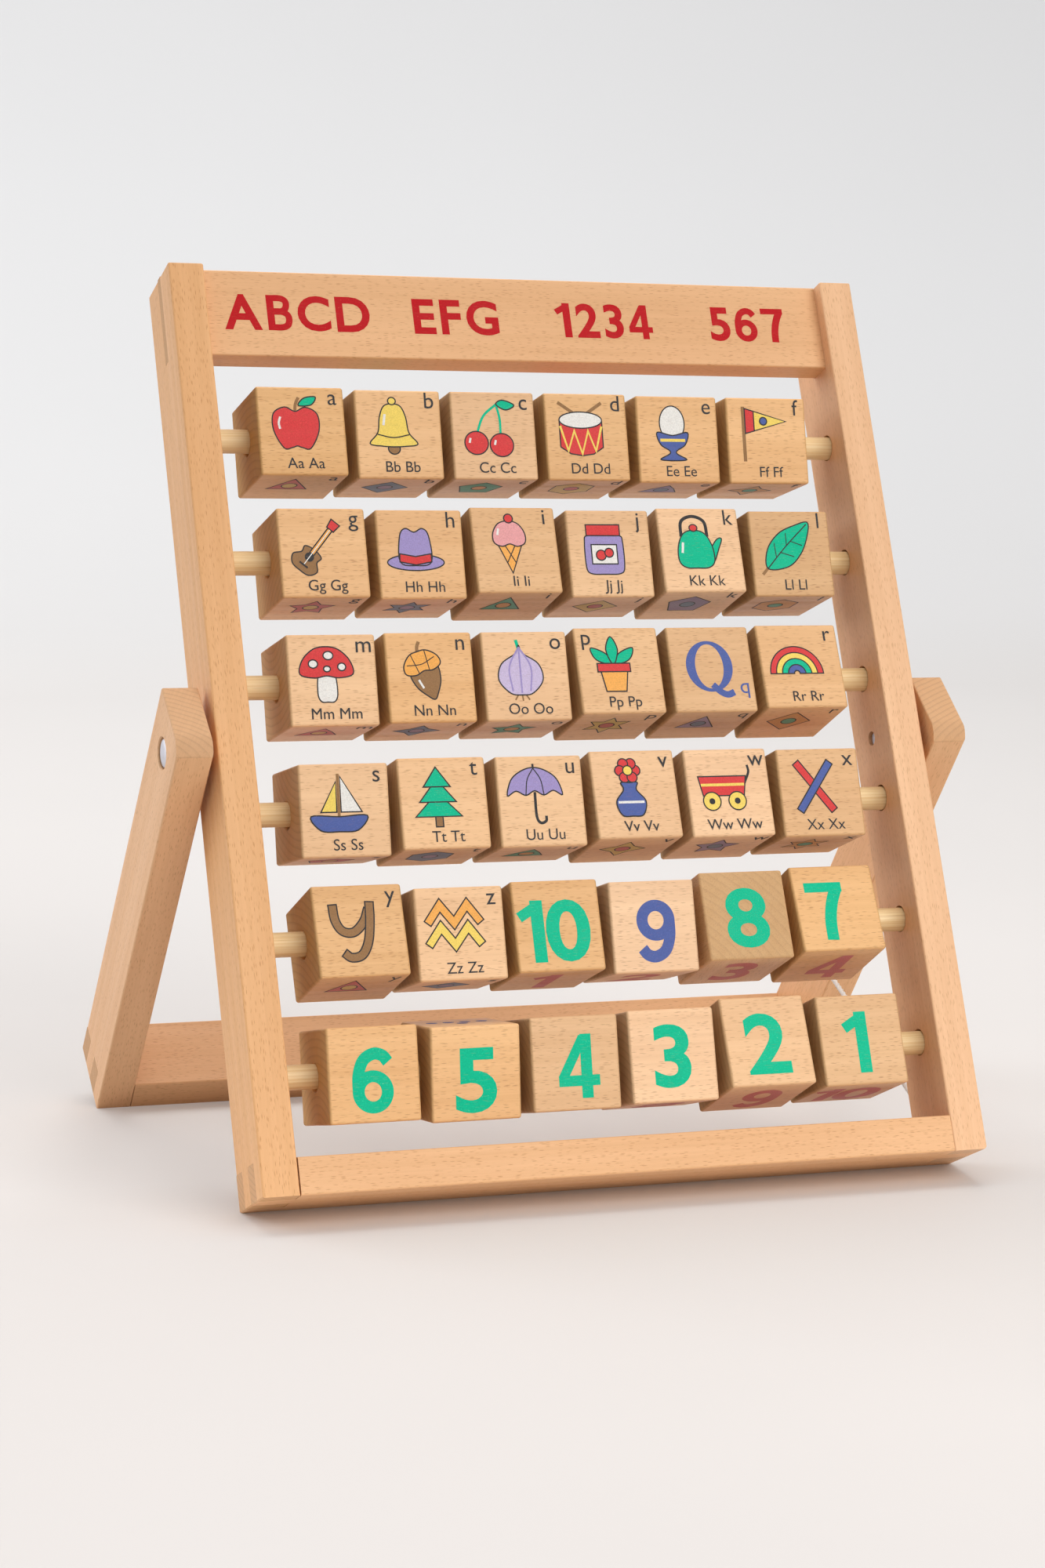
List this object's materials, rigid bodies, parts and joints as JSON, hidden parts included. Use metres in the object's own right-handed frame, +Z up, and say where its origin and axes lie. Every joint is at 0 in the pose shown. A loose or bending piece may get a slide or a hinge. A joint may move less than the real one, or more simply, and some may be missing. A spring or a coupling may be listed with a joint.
{
  "type": "alphabet rack",
  "caption": "Leaning beech frame with a folding rear stand, holding rows of printed letter and number cubes that spin on rods; a stay cord stops the stand.",
  "frame": {"origin": "middle of the bounding box's footprint, on the surface that the rack stands on", "axes": "+X to the right seen from the front, -Y towards the front, +Z up"},
  "size_m": [0.2768, 0.1812, 0.2912],
  "materials": {
    "beech": "satin clear lacquer on planed beech",
    "cube_beech": "satin clear lacquer on sanded beech, printed",
    "bamboo": "bare smooth bamboo",
    "zinc_steel": "bright zinc plating",
    "insert_brass": "turned brass",
    "white_cord": "twisted white cotton"
  },
  "bodies": {
    "rack": {"left_stile": "beech", "right_stile": "beech", "bottom_rail": "beech", "title_board": "beech", "rod_1": "bamboo", "rod_2": "bamboo", "rod_3": "bamboo", "rod_4": "bamboo", "rod_5": "bamboo", "rod_6": "bamboo", "left_pivot_bolt": "zinc_steel", "left_pivot_washer": "zinc_steel", "left_pivot_insert": "insert_brass", "right_pivot_bolt": "zinc_steel", "right_pivot_washer": "zinc_steel", "right_pivot_insert": "insert_brass", "stay_cord": "white_cord"},
    "stand": {"left_leg": "beech", "right_leg": "beech", "stand_crossbar": "beech"},
    "cube_a": {"cube_a": "cube_beech"},
    "cube_b": {"cube_b": "cube_beech"},
    "cube_c": {"cube_c": "cube_beech"},
    "cube_d": {"cube_d": "cube_beech"},
    "cube_e": {"cube_e": "cube_beech"},
    "cube_f": {"cube_f": "cube_beech"},
    "cube_g": {"cube_g": "cube_beech"},
    "cube_h": {"cube_h": "cube_beech"},
    "cube_i": {"cube_i": "cube_beech"},
    "cube_j": {"cube_j": "cube_beech"},
    "cube_k": {"cube_k": "cube_beech"},
    "cube_l": {"cube_l": "cube_beech"},
    "cube_m": {"cube_m": "cube_beech"},
    "cube_n": {"cube_n": "cube_beech"},
    "cube_o": {"cube_o": "cube_beech"},
    "cube_p": {"cube_p": "cube_beech"},
    "cube_q": {"cube_q": "cube_beech"},
    "cube_r": {"cube_r": "cube_beech"},
    "cube_s": {"cube_s": "cube_beech"},
    "cube_t": {"cube_t": "cube_beech"},
    "cube_u": {"cube_u": "cube_beech"},
    "cube_v": {"cube_v": "cube_beech"},
    "cube_w": {"cube_w": "cube_beech"},
    "cube_x": {"cube_x": "cube_beech"},
    "cube_y": {"cube_y": "cube_beech"},
    "cube_z": {"cube_z": "cube_beech"},
    "cube_10": {"cube_10": "cube_beech"},
    "cube_9": {"cube_9": "cube_beech"},
    "cube_8": {"cube_8": "cube_beech"},
    "cube_7": {"cube_7": "cube_beech"},
    "cube_6": {"cube_6": "cube_beech"},
    "cube_5": {"cube_5": "cube_beech"},
    "cube_4": {"cube_4": "cube_beech"},
    "cube_3": {"cube_3": "cube_beech"},
    "cube_2": {"cube_2": "cube_beech"},
    "cube_1": {"cube_1": "cube_beech"}
  },
  "joints": [
    {"name": "stand_fold", "type": "hinge", "parent": "rack", "child": "stand", "pos_m": [0, -0.01454, 0.13741], "axis": [1, 0, 0], "range_deg": [-61.9, 0], "deforming": ["stay_cord"]},
    {"name": "cube_a_spin", "type": "hinge", "parent": "rack", "child": "cube_a", "pos_m": [-0.0846, 0.03223, 0.23372], "axis": [1, 0, 0], "continuous": true},
    {"name": "cube_b_spin", "type": "hinge", "parent": "rack", "child": "cube_b", "pos_m": [-0.0512, 0.03223, 0.23372], "axis": [1, 0, 0], "continuous": true},
    {"name": "cube_c_spin", "type": "hinge", "parent": "rack", "child": "cube_c", "pos_m": [-0.0178, 0.03223, 0.23372], "axis": [1, 0, 0], "continuous": true},
    {"name": "cube_d_spin", "type": "hinge", "parent": "rack", "child": "cube_d", "pos_m": [0.0156, 0.03223, 0.23372], "axis": [1, 0, 0], "continuous": true},
    {"name": "cube_e_spin", "type": "hinge", "parent": "rack", "child": "cube_e", "pos_m": [0.049, 0.03223, 0.23372], "axis": [1, 0, 0], "continuous": true},
    {"name": "cube_f_spin", "type": "hinge", "parent": "rack", "child": "cube_f", "pos_m": [0.0824, 0.03223, 0.23372], "axis": [1, 0, 0], "continuous": true},
    {"name": "cube_g_spin", "type": "hinge", "parent": "rack", "child": "cube_g", "pos_m": [-0.082, 0.01352, 0.1952], "axis": [1, 0, 0], "continuous": true},
    {"name": "cube_h_spin", "type": "hinge", "parent": "rack", "child": "cube_h", "pos_m": [-0.0486, 0.01352, 0.1952], "axis": [1, 0, 0], "continuous": true},
    {"name": "cube_i_spin", "type": "hinge", "parent": "rack", "child": "cube_i", "pos_m": [-0.0152, 0.01352, 0.1952], "axis": [1, 0, 0], "continuous": true},
    {"name": "cube_j_spin", "type": "hinge", "parent": "rack", "child": "cube_j", "pos_m": [0.0182, 0.01352, 0.1952], "axis": [1, 0, 0], "continuous": true},
    {"name": "cube_k_spin", "type": "hinge", "parent": "rack", "child": "cube_k", "pos_m": [0.0516, 0.01352, 0.1952], "axis": [1, 0, 0], "continuous": true},
    {"name": "cube_l_spin", "type": "hinge", "parent": "rack", "child": "cube_l", "pos_m": [0.085, 0.01352, 0.1952], "axis": [1, 0, 0], "continuous": true},
    {"name": "cube_m_spin", "type": "hinge", "parent": "rack", "child": "cube_m", "pos_m": [-0.0836, -0.00519, 0.15667], "axis": [1, 0, 0], "continuous": true},
    {"name": "cube_n_spin", "type": "hinge", "parent": "rack", "child": "cube_n", "pos_m": [-0.0504, -0.00519, 0.15667], "axis": [1, 0, 0], "continuous": true},
    {"name": "cube_o_spin", "type": "hinge", "parent": "rack", "child": "cube_o", "pos_m": [-0.0172, -0.00519, 0.15667], "axis": [1, 0, 0], "continuous": true},
    {"name": "cube_p_spin", "type": "hinge", "parent": "rack", "child": "cube_p", "pos_m": [0.016, -0.00519, 0.15667], "axis": [1, 0, 0], "continuous": true},
    {"name": "cube_q_spin", "type": "hinge", "parent": "rack", "child": "cube_q", "pos_m": [0.0492, -0.00519, 0.15667], "axis": [1, 0, 0], "continuous": true},
    {"name": "cube_r_spin", "type": "hinge", "parent": "rack", "child": "cube_r", "pos_m": [0.0824, -0.00519, 0.15667], "axis": [1, 0, 0], "continuous": true},
    {"name": "cube_s_spin", "type": "hinge", "parent": "rack", "child": "cube_s", "pos_m": [-0.0844, -0.02389, 0.11815], "axis": [1, 0, 0], "continuous": true},
    {"name": "cube_t_spin", "type": "hinge", "parent": "rack", "child": "cube_t", "pos_m": [-0.051, -0.02389, 0.11815], "axis": [1, 0, 0], "continuous": true},
    {"name": "cube_u_spin", "type": "hinge", "parent": "rack", "child": "cube_u", "pos_m": [-0.0176, -0.02389, 0.11815], "axis": [1, 0, 0], "continuous": true},
    {"name": "cube_v_spin", "type": "hinge", "parent": "rack", "child": "cube_v", "pos_m": [0.0158, -0.02389, 0.11815], "axis": [1, 0, 0], "continuous": true},
    {"name": "cube_w_spin", "type": "hinge", "parent": "rack", "child": "cube_w", "pos_m": [0.0492, -0.02389, 0.11815], "axis": [1, 0, 0], "continuous": true},
    {"name": "cube_x_spin", "type": "hinge", "parent": "rack", "child": "cube_x", "pos_m": [0.0826, -0.02389, 0.11815], "axis": [1, 0, 0], "continuous": true},
    {"name": "cube_y_spin", "type": "hinge", "parent": "rack", "child": "cube_y", "pos_m": [-0.0837, -0.0426, 0.07962], "axis": [1, 0, 0], "continuous": true},
    {"name": "cube_z_spin", "type": "hinge", "parent": "rack", "child": "cube_z", "pos_m": [-0.0505, -0.0426, 0.07962], "axis": [1, 0, 0], "continuous": true},
    {"name": "cube_10_spin", "type": "hinge", "parent": "rack", "child": "cube_10", "pos_m": [-0.0173, -0.0426, 0.07962], "axis": [1, 0, 0], "continuous": true},
    {"name": "cube_9_spin", "type": "hinge", "parent": "rack", "child": "cube_9", "pos_m": [0.0159, -0.0426, 0.07962], "axis": [1, 0, 0], "continuous": true},
    {"name": "cube_8_spin", "type": "hinge", "parent": "rack", "child": "cube_8", "pos_m": [0.0491, -0.0426, 0.07962], "axis": [1, 0, 0], "continuous": true},
    {"name": "cube_7_spin", "type": "hinge", "parent": "rack", "child": "cube_7", "pos_m": [0.0823, -0.0426, 0.07962], "axis": [1, 0, 0], "continuous": true},
    {"name": "cube_6_spin", "type": "hinge", "parent": "rack", "child": "cube_6", "pos_m": [-0.08455, -0.06131, 0.0411], "axis": [1, 0, 0], "continuous": true},
    {"name": "cube_5_spin", "type": "hinge", "parent": "rack", "child": "cube_5", "pos_m": [-0.05085, -0.06131, 0.0411], "axis": [1, 0, 0], "continuous": true},
    {"name": "cube_4_spin", "type": "hinge", "parent": "rack", "child": "cube_4", "pos_m": [-0.01715, -0.06131, 0.0411], "axis": [1, 0, 0], "continuous": true},
    {"name": "cube_3_spin", "type": "hinge", "parent": "rack", "child": "cube_3", "pos_m": [0.01655, -0.06131, 0.0411], "axis": [1, 0, 0], "continuous": true},
    {"name": "cube_2_spin", "type": "hinge", "parent": "rack", "child": "cube_2", "pos_m": [0.05025, -0.06131, 0.0411], "axis": [1, 0, 0], "continuous": true},
    {"name": "cube_1_spin", "type": "hinge", "parent": "rack", "child": "cube_1", "pos_m": [0.08395, -0.06131, 0.0411], "axis": [1, 0, 0], "continuous": true}
  ]
}
